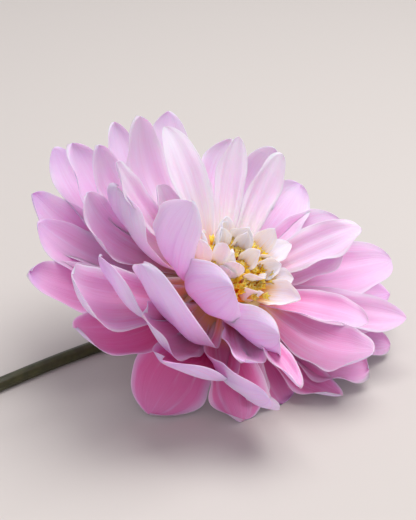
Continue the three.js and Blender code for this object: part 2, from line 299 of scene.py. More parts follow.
# %% The bending rule
def blade_position(g, sizes):
    """Bloom-frame position of a blade's point, from its place along, across and through."""
    along, across, side = (attribute(g, name) for name in ("along", "across", "side"))
    length, width = attribute(g, "length"), attribute(g, "width")
    leg = length / 3
    sway = attribute(g, "sway")
    legs = []
    for name, share in zip(("base_angle", "middle_angle", "tip_angle"), LEG_SWAY):
        angle = attribute(g, name)
        legs.append(g.arrow(
            g.function("COSINE", angle) * leg, sway * share, g.function("SINE", angle) * leg))
    root = g.arrow(attribute(g, "root_radius"), 0.0, attribute(g, "root_level"))
    rest = 1 - along
    centre = root + legs[0] * (1 - rest ** 3) \
        + legs[1] * (along * along * (3 - 2 * along)) + legs[2] * along ** 3
    tangent = g.vector("NORMALIZE", legs[0] * (rest * rest)
                       + legs[1] * (2 * along * rest) + legs[2] * (along * along))
    tangent_x, _, tangent_z = g.parts(tangent)
    inward = g.vector("NORMALIZE", g.arrow(0 - tangent_z, 0.0, tangent_x))
    sideways = g.vector("NORMALIZE", g.vector("CROSS_PRODUCT", inward, tangent))
    roll = attribute(g, "turn") + attribute(g, "twist") * along
    inward = g.rolled(inward, tangent, roll)
    sideways = g.rolled(sideways, tangent, roll)

    # outline: swells from the root, then closes to a blunt point, with slight scallops
    swell = 1 - (1 - sizes["Root Width"]) * (1 - along / sizes["Widest At"]) ** 2
    past = g.function("MAXIMUM", (along - sizes["Widest At"]) / (1 - sizes["Widest At"]), 0.0)
    closing = g.function("MAXIMUM", 1 - past * past, 0.0) ** attribute(g, "tip_power")
    waves, phase = attribute(g, "waves"), attribute(g, "phase")
    scallop = 1 + sizes["Scallop"] * along * g.function(
        "SINE", along * waves * SCALLOP_PITCH + phase * SCALLOP_SHIFT)
    plain = g.function("MAXIMUM", g.function("MINIMUM", swell, closing), sizes["Narrowest"])
    outline = plain * scallop

    cup = g.add("ShaderNodeMix", {"data_type": "FLOAT"}, {
        "Factor": along, "A": attribute(g, "cup_root"), "B": attribute(g, "cup_tip")})
    bend_radius = width / 2 * outline / cup

    # pleats along the blade, a wavy margin, and a thinner edge
    middle = g.function("SINE", along ** PLEAT_EASE * math.pi)
    pleat = g.function("COSINE", across * attribute(g, "pleats")) * middle \
        * attribute(g, "pleat_depth")
    wave = g.function("SINE", along * waves + phase * PHASE_SPREAD + across * WAVE_SLANT)
    margin = g.function("ABSOLUTE", across) ** 3
    ruffle = wave * margin * along * attribute(g, "ruffle")
    thinned = 1 - sizes["Edge Thinning"] * margin * margin
    raised = side * sizes["Thickness"] / 2 * thinned + pleat + ruffle
    arc = cup * across
    return centre \
        + sideways * ((bend_radius - raised) * g.function("SINE", arc)) \
        + inward * (bend_radius - (bend_radius - raised) * g.function("COSINE", arc))


# %% The petal tree
def petal_tree():
    """Geometry Nodes tree that grows one closed blade on every point of its input."""
    g, inlet = start_tree("petals by rule", PETAL_SIZES)
    block = g.add("GeometryNodeMeshCube", None, {
        "Vertices X": inlet["Steps Along"], "Vertices Y": inlet["Steps Across"],
        "Vertices Z": 2})
    x, y, z = g.parts(g.add("GeometryNodeInputPosition"))
    along = g.function("SINE", (x + 0.5) * (math.pi / 2)) ** ROOT_SPACING
    across = 2 * y * (1 - MARGIN_SPACING) + MARGIN_SPACING * g.function("SINE", y * math.pi)
    blade = stored(g, block, "along", along)
    blade = stored(g, blade, "across", across)
    blade = stored(g, blade, "side", 2 * z)
    placed = g.add("GeometryNodeInstanceOnPoints", None,
                   {"Points": inlet["Geometry"], "Instance": blade})
    blades = g.add("GeometryNodeRealizeInstances", None, {"Geometry": placed})
    around = g.rotated(blade_position(g, inlet), "Z", attribute(g, "azimuth"))
    wx, wy, wz = g.parts(laid_down(g, around))

    # a petal that would dip into the table lies flat on it instead
    inner_share = attribute(g, "side") * 0.5 + 0.5
    lowest = inlet["Table Gap"] + inner_share * inlet["Thickness"]
    pressed = g.function("SMOOTH_MAX", wz, lowest, inlet["Table Easing"])
    blades = moved(g, blades, g.arrow(wx, wy, pressed) * MILLIMETRE)
    return end_tree(g, blades, inlet)


PETALS_BY_RULE = petal_tree()
print("petal tree:", len(PETALS_BY_RULE.nodes), "nodes")

# %% [markdown]
# ## From a tree to a plain mesh
#
# The export needs plain meshes, so each tree is run once on a carrier of points and its
# result is kept as a new mesh. The inputs are set by their socket identifiers before the
# carrier is first evaluated, because a name is only a label there.
# %% Run a tree
def carrier(name, rows):
    """A mesh of loose points, one for each row, with the row's values stored on it."""
    mesh = bpy.data.meshes.new(name + " points")
    mesh.from_pydata([(0, 0, 0)] * len(rows), [], [])
    for key in rows[0]:
        values = mesh.attributes.new(key, "FLOAT", "POINT")
        values.data.foreach_set("value", [float(row[key]) for row in rows])
    return mesh


def run_tree(name, mesh, tree, sizes, material):
    """Runs a Geometry Nodes tree on a mesh and returns the result as a plain object."""
    start = new_object(name + " start", mesh)
    modifier = start.modifiers.new("rule", "NODES")
    modifier.node_group = tree
    for item in tree.interface.items_tree:
        if item.in_out == "INPUT" and item.name in sizes:
            modifier[item.identifier] = sizes[item.name]
        elif item.in_out == "INPUT" and item.name == "Material":
            modifier[item.identifier] = material
    evaluated = start.evaluated_get(bpy.context.evaluated_depsgraph_get())
    result = bpy.data.meshes.new_from_object(evaluated)
    start.modifiers.remove(modifier)
    bpy.data.objects.remove(start)
    print(name, "-", len(result.polygons), "faces")
    return new_object(name, result)


# %% [markdown]
# ## The finish of a petal
#
# A petal is a film of watery cells. Its colour is strongest near the root, pales towards
# the tip and margin, and is milky on the outside, and fine veins run along it. Light goes
# in and comes out again, which subsurface scattering gives. The colour reads the place
# along, across and through the blade, stored by the petal tree, so the veins follow it.
# %% Colour helpers
def linear(red, green, blue):
    """A colour as seen on a screen, 0 to 255, as the linear values a shader takes."""
    shares = [value / 255 for value in (red, green, blue)]
    return (*(((s + 0.055) / 1.055) ** 2.4 if s > 0.04045 else s / 12.92 for s in shares), 1)


def new_material(name):
    """A material, its node tree and its surface node."""
    material = bpy.data.materials.new(name)
    material.use_nodes = True
    surface = material.node_tree.nodes["Principled BSDF"]
    return material, Tree(material.node_tree), surface


def mixed(g, factor, first, second):
    """The first colour where the factor is 0 and the second where it is 1."""
    return g.add("ShaderNodeMix", {"data_type": "RGBA"},
                 {"Factor": factor, "A": first, "B": second})


def stored_values(g, *names):
    """Values that a geometry tree stored on the mesh, for a shader to read."""
    return [g.add("ShaderNodeAttribute", {"attribute_name": name}, None, "Fac")
            for name in names]


def noise(g, where, scale, detail, roughness):
    return g.add("ShaderNodeTexNoise", None, {
        "Vector": where, "Scale": scale, "Detail": detail, "Roughness": roughness}, "Fac")


def bumped(g, surface, strength, distance, height):
    g.feed(surface, "Normal", g.add("ShaderNodeBump", None, {
        "Strength": strength, "Distance": distance, "Height": height}))


def set_constants(surface, **values):
    """Constant values on the surface's own sockets, such as subsurface_weight=0.8."""
    sockets = {socket.name.lower().replace(" ", "_"): socket for socket in surface.inputs}
    for name, value in values.items():
        sockets[name].default_value = value


def streaks(g, along, across, tone, count, bends):
    """Lines that run the length of a blade, `count` noise cells from midrib to margin."""
    blade_apart = tone * 40     # far apart in the noise, so that no two blades are alike
    return noise(g, g.arrow(across * count, along * bends, blade_apart), 1.0, 3.0, 0.6)


# %% [markdown]
# The inner face goes from a golden claw at the very root through the root's colour to the
# body's, and fades to the tip's colour at its end and margins. The outer face is milky with
# bands of body colour and blush. Three stored values steer each petal. `pale` washes it with
# near white: partly the paler colour of inner petals, partly painted light on the far side.
# The next is painted shade on the low near petals, which takes the root's colour further and
# holds back the tip's pale colour. `tone` is a draw of its own.
# %% Petal finish
CREAM_ROOT = linear(252, 226, 190)      # root of the palest petals
GOLDEN_CLAW = linear(250, 164, 76)
NEAR_WHITE = linear(250, 242, 252)


def petal_finish(name, root, body, tip, outside_root, outside, blush, scatter):
    material, g, surface = new_material(name)
    along, across, side, pale, tone, deep = stored_values(
        g, "along", "across", "side", "pale", "tone", "deep")
    veins = streaks(g, along, across, tone, 26.0, 1.6)
    bands = streaks(g, along, across, tone, 5.0, 1.1)

    # the palest petals get a cream root; this follows the pale wash, so on the far side it is
    # partly painted light
    base = mixed(g, g.ramp(pale, 0.36, 0.6), root, CREAM_ROOT)
    base = mixed(g, g.ramp(along, 0.06, 0.26), GOLDEN_CLAW, base)
    past_base = g.ramp(along + (bands - 0.5) * 0.5, 0.02, 0.6)
    # painted shade: shaded near petals take more of the root's deep colour over the body
    inner = mixed(g, past_base, base, mixed(g, deep * 0.75, body, root))
    margin = g.ramp(g.function("ABSOLUTE", across), 0.72, 1.02)
    # painted shade holds back the tip's pale colour on the shaded near petals
    end = g.ramp(along, 0.6, 1.0) * (1 - 0.8 * deep)
    inner = mixed(g, g.function("MAXIMUM", margin * 0.5, end * 0.8), inner, tip)
    vein_colour = mixed(g, 0.6, base, root)
    inner = mixed(g, g.ramp(veins, 0.5, 0.72) * (1.15 - along) * 0.6, inner, vein_colour)
    inner = mixed(g, g.ramp(bands, 0.52, 0.75) * 0.35, inner, tip)

    # painted shade also turns the outer face towards the body's colour
    outer = mixed(g, deep * 0.3, outside, body)
    outer = mixed(g, g.ramp(along, 0.0, 0.55), outside_root, outer)
    outer = mixed(g, g.ramp(veins, 0.5, 0.75) * 0.5, outer, body)
    outer = mixed(g, g.ramp(bands, 0.5, 0.7) * 0.4, outer, blush)

    colour = mixed(g, g.ramp(side, -0.2, 0.4), outer, inner)
    blushing = g.ramp(along, 0.86, 1.0) * g.ramp(tone, 0.35, 0.8) * 0.5
    colour = mixed(g, blushing, colour, blush)
    # pale wash to near white: paler inner petals, plus painted light on the far side
    colour = mixed(g, pale * (1 - 0.5 * veins), colour, NEAR_WHITE)
    g.feed(surface, "Base Color", colour)
    g.feed(surface, "Roughness", 0.5 + 0.2 * veins)
    bumped(g, surface, 0.6, 0.5 * MILLIMETRE, veins * 0.4 + bands * 0.6)
    set_constants(
        surface, subsurface_weight=0.8, subsurface_radius=scatter,
        subsurface_scale=1.2 * MILLIMETRE, specular_ior_level=0.25,
        sheen_weight=0.08, sheen_roughness=0.4)
    return material


PINK_FINISH = petal_finish(
    "petal pink", root=linear(230, 94, 156), body=linear(234, 176, 220),
    tip=linear(238, 222, 248), outside_root=linear(238, 160, 190),
    outside=linear(214, 204, 248), blush=linear(200, 152, 220), scatter=(1.0, 0.5, 0.75))
print("petal finish:", len(PINK_FINISH.node_tree.nodes), "nodes")

# %% [markdown]
# ## The ways a petal is held
#
# A dahlia's petals are alike, and differ mostly in how they are held: the outermost sweep
# back, the middle ones turn their tips up, and those by the heart stand or fold over it.
# Each way is three directions of the blade, at base, middle and tip, in degrees above the
# ring plane. The same few ways serve the whole bloom.
# %% Ways of being held
PRESSED = (-50, -40, -10)   # bent down by the table
SAGGING = (-25, -30, 5)     # hangs to the table
SWEPT = (-40, -20, 40)      # swings back behind the bloom, then lifts its tip
OPEN = (-15, -15, 20)
FLAT = (5, 0, 25)
LIFTED = (-25, -10, 45)     # open, with a raised tip
HOOKED = (-25, 10, 70)      # open, with its tip turned up and in
SCOOPED = (-10, 20, 75)     # curves up from the root like a scoop
FURLED = (-20, 60, 95)      # folds over, so that its back shows
UPRIGHT = (20, 70, 105)     # stands beside the heart and leans over it
HOODED = (20, 50, 75)
RISING = (15, 30, 50)
LEANING = (45, 30, 25)      # stands at its root, then opens outwards

# %% [markdown]
# ## The pink petals
#
# Petals that share a way and a size form a group: level of the roots on the cushion,
# length, width, and the azimuths where they stand. A seeded draw makes each a little longer
# or shorter. The few that stand out on the near side also lean round the bloom (sway) and
# roll about their midrib (twist).
# %% Groups of petals, outermost first: way, level, length, width, azimuths
PETAL_GROUPS = [
    (SWEPT, -2, 73, 24, [118]),
    (SWEPT, 0, 82, 21, [79, 101]),
    (SWEPT, -1, 66, 22, [128, 146]),
    (PRESSED, -2, 40, 30, [210]),
    (SAGGING, -1, 36, 26, [248, 272]),
    (OPEN, 0, 60, 22, [4, 320]),
    (OPEN, 0, 67, 22, [338]),
    (LIFTED, 0, 50, 16, [286]),
    (LIFTED, 1, 55, 26, [302]),
    (LIFTED, 1, 65, 23, [48, 328]),
    (LIFTED, 1, 71, 22, [68, 104]),
    (FLAT, 2, 47, 22, [2, 21]),
    (FLAT, 2, 57, 24, [342]),
    (FLAT, 4, 55, 17, [320]),
    (HOOKED, 6, 54, 26, [296]),
    (HOOKED, 4, 61, 21, [37, 130]),
    (HOOKED, 4, 68, 20, [89, 110]),
    (RISING, 5, 34, 18, [345]),
    (RISING, 6, 41, 12, [36, 57]),
    (RISING, 6, 50, 12, [123]),
    (RISING, 8, 30, 14, [84, 112]),
    (LEANING, 6, 40, 15, [298, 348]),
    (LEANING, 8, 45, 17, [95]),
]

# %% Single petals: way, azimuth, level, length, width, sway, twist
SINGLE_PETALS = [
    (LIFTED, 181, -1, 55, 22, -10, 0),
    (HOOKED, 168, 6, 71, 25, -5, -10),
    (SCOOPED, 132, 5, 50, 24, -5, 60),
    (SCOOPED, 179, 5, 56, 23, -18, 0),
    (SCOOPED, 202, 4, 46, 24, -16, -40),
    (SCOOPED, 228, 0, 50, 28, -26, -10),
    (SCOOPED, 231, 2, 58, 28, 6, -30),
    (FURLED, 208, 6, 58, 28, -30, -25),
    (RISING, 237, 6, 36, 17, -7, -10),
    (RISING, 249, 4, 30, 10, -8, 0),
    (LEANING, 245, 4, 50, 10, 0, 0),
    (UPRIGHT, 160, 8, 54, 19, -5, 60),
    (UPRIGHT, 189, 7, 40, 28, 8, 0),
    (HOODED, 224, 8, 37, 24, 10, -45),
]
LENGTH_SPREAD = 0.02        # most that a petal's length departs from its group's


# %% [markdown]
# No two petals are quite alike. Seeded draws give each its own pleats, waves and tip. The
# finish of a petal comes from its place: petals high on the cushion are paler, and those on
# the far side are paler still with painted light; the low near ones get painted shade, which
# keeps more of their root's colour, and have wavier margins.
# %% What differs from blade to blade: least value, spread, and seed of the draw
BLADE_DRAWS = {
    "tip_power": (0.48, 0.12, 5),       # lower is blunter
    "pleats": (6, 4, 11),
    "pleat_depth": (0.22, 0.22, 17),
    "waves": (12, 9, 23),
    "ruffle": (0.4, 0.9, 29),
    "phase": (0, 1, 31),
    "tone": (0, 1, 37),
}
PETAL_CUP = (57, 32)        # half angle of the blade's hollow, at root and tip


def blade_values(seed, held, azimuth, radius, level, length, width, sway=0, twist=0, turn=0,
                 cup=PETAL_CUP, pale=0.0, deep=0.0):
    """All the values the petal tree and the finish read from one point."""
    degrees = {
        "azimuth": azimuth, "base_angle": held[0], "middle_angle": held[1],
        "tip_angle": held[2], "twist": twist, "turn": turn, "cup_root": cup[0],
        "cup_tip": cup[1]}
    values = {name: math.radians(angle) for name, angle in degrees.items()}
    for name, (least, spread, step) in BLADE_DRAWS.items():
        values[name] = least + spread * draw(seed + step)
    values.update(root_radius=radius, root_level=level, length=length, width=width,
                  sway=sway, pale=pale, deep=deep)
    return values


# %% A pink petal's values
ROOT_RADIUS = 11.6          # of a petal's root at level 0
ROOT_FLARE = 0.27           # wider by this much for each level up
FAR_AZIMUTH = 60            # middle of the far side, where painted light makes the petals palest
FAR_PAINTED_LIGHT = 0.4              # painted light: paler by this much there
PALE_LEVEL = 0.03           # paler by this much for each level up, as inner petals are; twice that far off, where the extra is painted light
PALEST = 0.75
PAINTED_SHADE_NEAR = 0.9             # how much painted shade a petal at level 0 gets
PAINTED_SHADE_LEVEL = 0.05           # less painted shade by this much for each level up
PAINTED_SHADE_ROUND = 1.2            # over 1, so that even the far side keeps a little painted shade
PAINTED_SHADE_RUFFLE = 1.2           # how much wavier the petals with the most painted shade are
HIGH_PLEATS = 0.1           # how much deeper the pleats are for each level up


def pink_petal(seed, held, azimuth, level, length, width, sway=0, twist=0):
    """A coloured petal, whose root sits on the cushion's side."""
    radius = min(RECEPTACLE_RADIUS, ROOT_RADIUS + ROOT_FLARE * level)
    far = 0.5 + 0.5 * math.cos(math.radians(azimuth - FAR_AZIMUTH))
    height = max(0, level)
    # paler high on the cushion, as inner petals are, plus painted light on the far side
    pale = min(PALEST, height * (PALE_LEVEL + PALE_LEVEL * far) + FAR_PAINTED_LIGHT * far ** 2)
    # painted shade on the low petals of the near side
    deep = min(1.0, max(0.0, (PAINTED_SHADE_ROUND - far) * (PAINTED_SHADE_NEAR - PAINTED_SHADE_LEVEL * level)))
    values = blade_values(
        seed, held, azimuth, radius, level, length, width, sway, twist, pale=pale, deep=deep)
    values["ruffle"] *= 1.0 + PAINTED_SHADE_RUFFLE * deep
    values["pleat_depth"] *= 1.0 + HIGH_PLEATS * height
    return values


def pink_petals():
    """The values of every pink petal: first the groups, then the single ones."""
    petals = []
    for ring, (held, level, length, width, azimuths) in enumerate(PETAL_GROUPS):
        for place, azimuth in enumerate(azimuths):
            change = 2 * draw(10 * ring + place + 1) - 1
            petals.append(pink_petal(
                len(petals), held, azimuth, level, length * (1 + LENGTH_SPREAD * change), width))
    for held, azimuth, level, length, width, sway, twist in SINGLE_PETALS:
        petals.append(pink_petal(len(petals), held, azimuth, level, length, width, sway, twist))
    return petals


pinks = run_tree(
    "pink_petals", carrier("pink", pink_petals()), PETALS_BY_RULE, PETAL_SIZES, PINK_FINISH)

# %% [markdown]
# ## The cushion under the petals
#
# All petals grow from a fleshy cushion, the receptacle. Only slivers of it show between
# the petal roots. A profile spun round the bloom's axis is enough, with a soft yellow green
# that warms the petals' roots.
# %% Spin a profile round the bloom's axis
def spun(name, profile, sides, material):
    """A closed solid of revolution in the bloom's frame, from a profile that starts and
    ends on the axis."""
    points, faces = [], []
    ring_starts = []
    for radius, height in profile:
        ring_starts.append(len(points))
        turns = sides if radius > 0 else 1
        for j in range(turns):
            angle = 2 * math.pi * j / sides
            points.append((radius * math.cos(angle), radius * math.sin(angle), height))
    for i in range(len(profile) - 1):
        low, high = ring_starts[i], ring_starts[i + 1]
        for j in range(sides):
            k = (j + 1) % sides
            if profile[i][0] == 0:
                faces.append((low, high + k, high + j))
            elif profile[i + 1][0] == 0:
                faces.append((low + j, low + k, high))
            else:
                faces.append((low + j, low + k, high + k, high + j))
    lean = Euler((LEAN, 0, 0)).to_matrix()
    placed = [(lean @ Vector(point) + HEART) * MILLIMETRE for point in points]
    mesh = bpy.data.meshes.new(name)
    mesh.from_pydata(placed, [], faces)
    mesh.shade_smooth()
    mesh.materials.append(material)
    print(name, "-", len(faces), "faces")
    return new_object(name, mesh)


# %% Fleshy finish, for the cushion and the green parts
def fleshy_finish(name, dark, light, roughness):
    """Two shades mottled together, with a fine speckle on the surface."""
    material, g, surface = new_material(name)
    where = g.add("ShaderNodeTexCoord", None, None, "Object")
    mottle = noise(g, where, 260.0, 4.0, 0.6)
    speck = noise(g, where, 1800.0, 2.0, 0.5)
    g.feed(surface, "Base Color", mixed(g, g.ramp(mottle, 0.35, 0.68), dark, light))
    g.feed(surface, "Roughness", roughness + (speck - 0.5) * 0.2)
    bumped(g, surface, 0.3, 0.2 * MILLIMETRE, speck * 0.5 + mottle * 0.5)
    set_constants(surface, subsurface_weight=0.15, subsurface_radius=(0.6, 1.0, 0.3),
                  subsurface_scale=MILLIMETRE)
    return material


CUSHION_FINISH = fleshy_finish(
    "receptacle flesh", linear(216, 200, 124), linear(232, 220, 160), 0.5)
GREEN_FINISH = fleshy_finish("calyx green", linear(70, 92, 36), linear(118, 140, 62), 0.5)
STEM_FINISH = fleshy_finish("stem green", linear(54, 56, 26), linear(68, 70, 34), 0.42)

# %% The cushion
WIDE_SIDES = 48             # round the cushion and the plate
ROUND_SIDES = 40            # round the smaller disc and cup
cushion = spun("receptacle", [
    (0, RECEPTACLE_BOTTOM), (7, RECEPTACLE_BOTTOM), (RECEPTACLE_RADIUS - 1, -2.5),
    (RECEPTACLE_RADIUS - 0.2, -0.8), (RECEPTACLE_RADIUS + 0.2, 2),
    (RECEPTACLE_RADIUS + 0.2, RECEPTACLE_TOP - 1.2), (RECEPTACLE_RADIUS - 0.6, RECEPTACLE_TOP),
    (0, RECEPTACLE_TOP)], WIDE_SIDES, CUSHION_FINISH)

# %% [markdown]
# ## The cream petals of the heart
#
# Round and among the yellow florets stand small, nearly white petals that have not opened.
# They follow the same rule as the pink ones, so the same tree makes them, with fewer steps.
# %% Cream petals: way, azimuth, radius of the root, length, width, turn about the midrib
STANDING = (80, 85, 80)
OPENING = (65, 70, 60)
SPREADING = (50, 45, 40)
HEART_PETALS = [
    (OPENING, 15, 12, 14, 9, 10),
    (STANDING, 50, 9, 14, 10, -30),
    (OPENING, 75, 12, 12, 8, 0),
    (STANDING, 95, 12, 14, 11, 25),
    (OPENING, 120, 12, 12, 9, 30),
    (OPENING, 145, 12, 18, 9, 50),
    (STANDING, 150, 8, 18, 7, 50),
    (STANDING, 195, 6, 16, 8, 25),
    (STANDING, 255, 11, 10, 9, -20),
    (SPREADING, 290, 11, 17, 13, 25),
    (SPREADING, 320, 12, 11, 9, 10),
    (OPENING, 335, 10, 10, 13, 10),
    (SPREADING, 355, 12, 14, 10, -15),
]
HEART_ROOT_LEVEL = PLATE_TOP - 0.6      # inside the plate they stand on
HEART_CUP = (48, 42)
ROLLED_CUP = (55, 85)                   # rolls the margins in towards the tip
ROLLED_WIDTH = 12                       # from this width on, a cream petal is rolled
CREAM_PALE = 0.1


def heart_petal(seed, held, azimuth, radius, length, width, turn):
    """A small petal, whose root sits on the plate."""
    cup = HEART_CUP if width < ROLLED_WIDTH else ROLLED_CUP
    values = blade_values(seed, held, azimuth, radius, HEART_ROOT_LEVEL, length, width,
                          turn=turn, cup=cup, pale=CREAM_PALE)
    values.update(pleat_depth=0.2, ruffle=0.3, tip_power=0.8)
    return values


# %% [markdown]
# A few still younger petals stand among the florets, each rolled nearly to a tube. They sit
# on the same kind of spiral as the florets, and those further out may lean out further.
# %% Curled young petals
CURLED_COUNT = 7
CURLED_REACH = 9.5                      # about the radius of the outermost
CURLED_CUP = (75, 60)


def curled_petal(index):
    """A short curled petal between the florets. Seeded draws vary its lean and size."""
    seed = 300 + index
    reach = math.sqrt((index + 0.9) / CURLED_COUNT)
    base = 86
    middle = 84 - 26 * reach * draw(seed)
    tip = middle - 50 + 90 * draw(seed + 1)
    length = 8 + 3 * reach + 3 * draw(seed + 2)
    width = 7 + 3 * draw(seed + 3)
    turn = 80 * draw(seed + 4) - 40
    values = blade_values(
        seed, (base, middle, tip), math.degrees(index * GOLDEN_ANGLE), CURLED_REACH * reach,
        DISC_TOP - 1.5, length, width, turn=turn, cup=CURLED_CUP, pale=CREAM_PALE)
    values.update(pleat_depth=0.15, ruffle=0.3, tip_power=0.85)
    return values


# %% All cream petals
CREAM_FINISH = petal_finish(
    "petal cream", root=linear(254, 184, 20), body=linear(248, 247, 253),
    tip=linear(250, 250, 255), outside_root=linear(254, 204, 60),
    outside=linear(248, 247, 254), blush=linear(246, 238, 252), scatter=(1.0, 0.85, 0.6))
cream_rows = [heart_petal(200 + i, *row) for i, row in enumerate(HEART_PETALS)]
cream_rows += [curled_petal(i) for i in range(CURLED_COUNT)]
cream_sizes = dict(PETAL_SIZES, **{"Steps Along": 18, "Steps Across": 16})
creams = run_tree(
    "cream_petals", carrier("cream", cream_rows), PETALS_BY_RULE, cream_sizes, CREAM_FINISH)

# %% The plate the cream petals stand on
heart_plate = spun("heart_plate", [
    (0, RECEPTACLE_TOP + CLEARANCE), (RECEPTACLE_RADIUS - 0.3, RECEPTACLE_TOP + CLEARANCE),
    (RECEPTACLE_RADIUS - 0.1, RECEPTACLE_TOP + 0.7), (RECEPTACLE_RADIUS - 0.8, PLATE_TOP + 0.5),
    (DISC_RADIUS + 0.6, PLATE_TOP + 0.4), (DISC_RADIUS + 0.2, PLATE_TOP), (0, PLATE_TOP)],
    WIDE_SIDES, CUSHION_FINISH)

# %% [markdown]
# ## The yellow disc florets
#
# The middle of a dahlia is a dome of tiny tubular flowers, each with five lobes, set on a
# spiral of golden angles as in a sunflower. One floret is a small cylinder flared by a
# rule, with a hollow mouth, and the tree places it on the spiral. Eighty faces are enough
# for each. The outer florets are taller and lean outwards.
# %% Sizes of the florets
FLORET_SIZES = {
    "Count": 96,
    "Tube Radius": 0.52,
    "Mouth Radius": 1.15,
    "Height": 6.0,
    "Mouth Depth": 2.4,
    "Lobe Depth": 0.28,         # how far the lobes reach out, as a share of the radius
    "Lobe Lift": 0.35,
    "Lean": 0.42,               # radians, at the edge of the disc
    "Lean Spread": 0.35,        # radians, between the least and the most leaning draw
    "Seed": 7,
}
LOBES = 5
FLORET_EDGE = DISC_RADIUS - 0.9     # how far out the spiral goes
FLORET_BASE = DISC_TOP - 1.0        # height of the spiral's middle, sunk in the dome
FLORET_FALL = 0.6                   # how much lower its edge is


# %% One floret
def floret(g, sizes):
    """A tube about the origin, flared upwards, with lobes and a hollow mouth."""
    tube = g.add("GeometryNodeMeshCylinder", {"fill_type": "TRIANGLE_FAN"}, {
        "Vertices": 2 * LOBES, "Side Segments": 4, "Fill Segments": 2,
        "Radius": 1.0, "Depth": 1.0})
    x, y, z = g.parts(g.add("GeometryNodeInputPosition"))
    height = z + 0.5
    lobe = g.function("COSINE", g.function("ARCTAN2", y, x) * LOBES)
    flare = sizes["Tube Radius"] + (sizes["Mouth Radius"] - sizes["Tube Radius"]) * height ** 3
    spread = flare * (1 + sizes["Lobe Depth"] * lobe * height ** 2)
    from_middle = g.function("MINIMUM", g.function("SQRT", x * x + y * y), 1.0)
    at_top = g.function("GREATER_THAN", height, 0.99)
    dip = (1 - from_middle) * at_top * sizes["Mouth Depth"]
    lift = lobe * height ** 3 * from_middle * sizes["Lobe Lift"]
    tube = stored(g, tube, "along", height)
    return moved(g, tube, g.arrow(
        x * spread, y * spread, height * sizes["Height"] + lift - dip))


# %% The floret tree
def floret_tree():
    """Geometry Nodes tree that sets florets on a spiral. Its input mesh is not used."""
    g, inlet = start_tree("florets on a spiral", FLORET_SIZES)
    spiral = g.add("GeometryNodePoints", None, {"Count": inlet["Count"]})
    index = g.add("GeometryNodeInputIndex")
    out = g.function("SQRT", (index + 0.5) / inlet["Count"])
    turn = index * GOLDEN_ANGLE
    radius = out * FLORET_EDGE
    spiral = moved(g, spiral, g.arrow(
        g.function("COSINE", turn) * radius, g.function("SINE", turn) * radius,
        FLORET_BASE - FLORET_FALL * out * out))

    jitter = g.add("FunctionNodeRandomValue", {"data_type": "FLOAT"}, {
        "Min": 0.0, "Max": 1.0, "Seed": inlet["Seed"]})
    spiral = stored(g, spiral, "tone", jitter)
    tilt = inlet["Lean"] * out * out + (jitter - 0.5) * inlet["Lean Spread"]
    turned = g.add("FunctionNodeEulerToRotation", None, {"Euler": g.arrow(0.0, tilt, turn)})
    thickness = 0.75 + 0.25 * out
    stretch = 0.62 + 0.35 * out + 0.35 * jitter
    placed = g.add("GeometryNodeInstanceOnPoints", None, {
        "Points": spiral, "Instance": floret(g, inlet), "Rotation": turned,
        "Scale": g.arrow(thickness, thickness, stretch)})
    grown = g.add("GeometryNodeRealizeInstances", None, {"Geometry": placed})
    where = g.add("GeometryNodeInputPosition")
    grown = moved(g, grown, laid_down(g, where) * MILLIMETRE)
    return end_tree(g, grown, inlet)


# %% Floret finish
FLORET_FOOT = linear(253, 136, 0)
FLORET_TOP = linear(255, 192, 16)
FLORET_MOUTH = linear(255, 232, 130)
FLORET_GRAIN = linear(248, 138, 0)


def floret_finish():
    """Orange at the foot and golden at the top, with paler mouths on some florets."""
    material, g, surface = new_material("floret gold")
    along, tone = stored_values(g, "along", "tone")
    grain = noise(g, g.add("ShaderNodeTexCoord", None, None, "Object"), 900.0, 3.0, 0.6)
    colour = mixed(g, g.ramp(along, 0.1, 0.8), FLORET_FOOT, FLORET_TOP)
    mouth = g.ramp(tone, 0.3, 0.7) * g.ramp(along, 0.5, 0.95) * 0.5
    colour = mixed(g, mouth, colour, FLORET_MOUTH)
    colour = mixed(g, g.ramp(grain, 0.4, 0.7) * 0.4, colour, FLORET_GRAIN)
    g.feed(surface, "Base Color", colour)
    g.feed(surface, "Roughness", 0.5 + grain * 0.2)
    bumped(g, surface, 0.4, 0.2 * MILLIMETRE, grain)
    set_constants(surface, subsurface_weight=0.6, subsurface_radius=(1.0, 0.7, 0.15),
                  subsurface_scale=2 * MILLIMETRE)
    return material


GOLD_FINISH = floret_finish()
florets = run_tree(
    "disc_florets_fine", bpy.data.meshes.new("nothing"), floret_tree(), FLORET_SIZES,
    GOLD_FINISH)

# %% The dome the florets stand on
disc_dome = spun("disc_dome", [
    (0, PLATE_TOP + CLEARANCE), (DISC_RADIUS, PLATE_TOP + CLEARANCE),
    (DISC_RADIUS, PLATE_TOP + 0.8), (DISC_RADIUS * 0.85, PLATE_TOP + 1.2),
    (DISC_RADIUS * 0.6, DISC_TOP - 0.5), (DISC_RADIUS * 0.3, DISC_TOP - 0.1), (0, DISC_TOP)],
    ROUND_SIDES, GOLD_FINISH)

# %% [markdown]
# ## The green cup and its bracts
#
# Behind the petals a cup of green bracts holds the bloom. The outer five are fleshy and
# bend back over the stem. The petal tree makes them too, thicker and narrower.
# %% The cup
CUP_BACK = RECEPTACLE_BOTTOM - CLEARANCE
NECK_BASE = CUP_BACK - CALYX_DEPTH
cup = spun("calyx_cup", [
    (0, NECK_BASE), (STEM_RADIUS + 1.4, NECK_BASE), (STEM_RADIUS + 2.05, NECK_BASE + 0.6),
    (STEM_RADIUS + 2.85, NECK_BASE + 1.8),
    (CALYX_RADIUS - 1.3, CUP_BACK - 3), (CALYX_RADIUS - 0.2, CUP_BACK - 1.5),
    (CALYX_RADIUS, CUP_BACK - 0.3), (CALYX_RADIUS - 0.2, CUP_BACK),
    (0, CUP_BACK)], ROUND_SIDES, GREEN_FINISH)

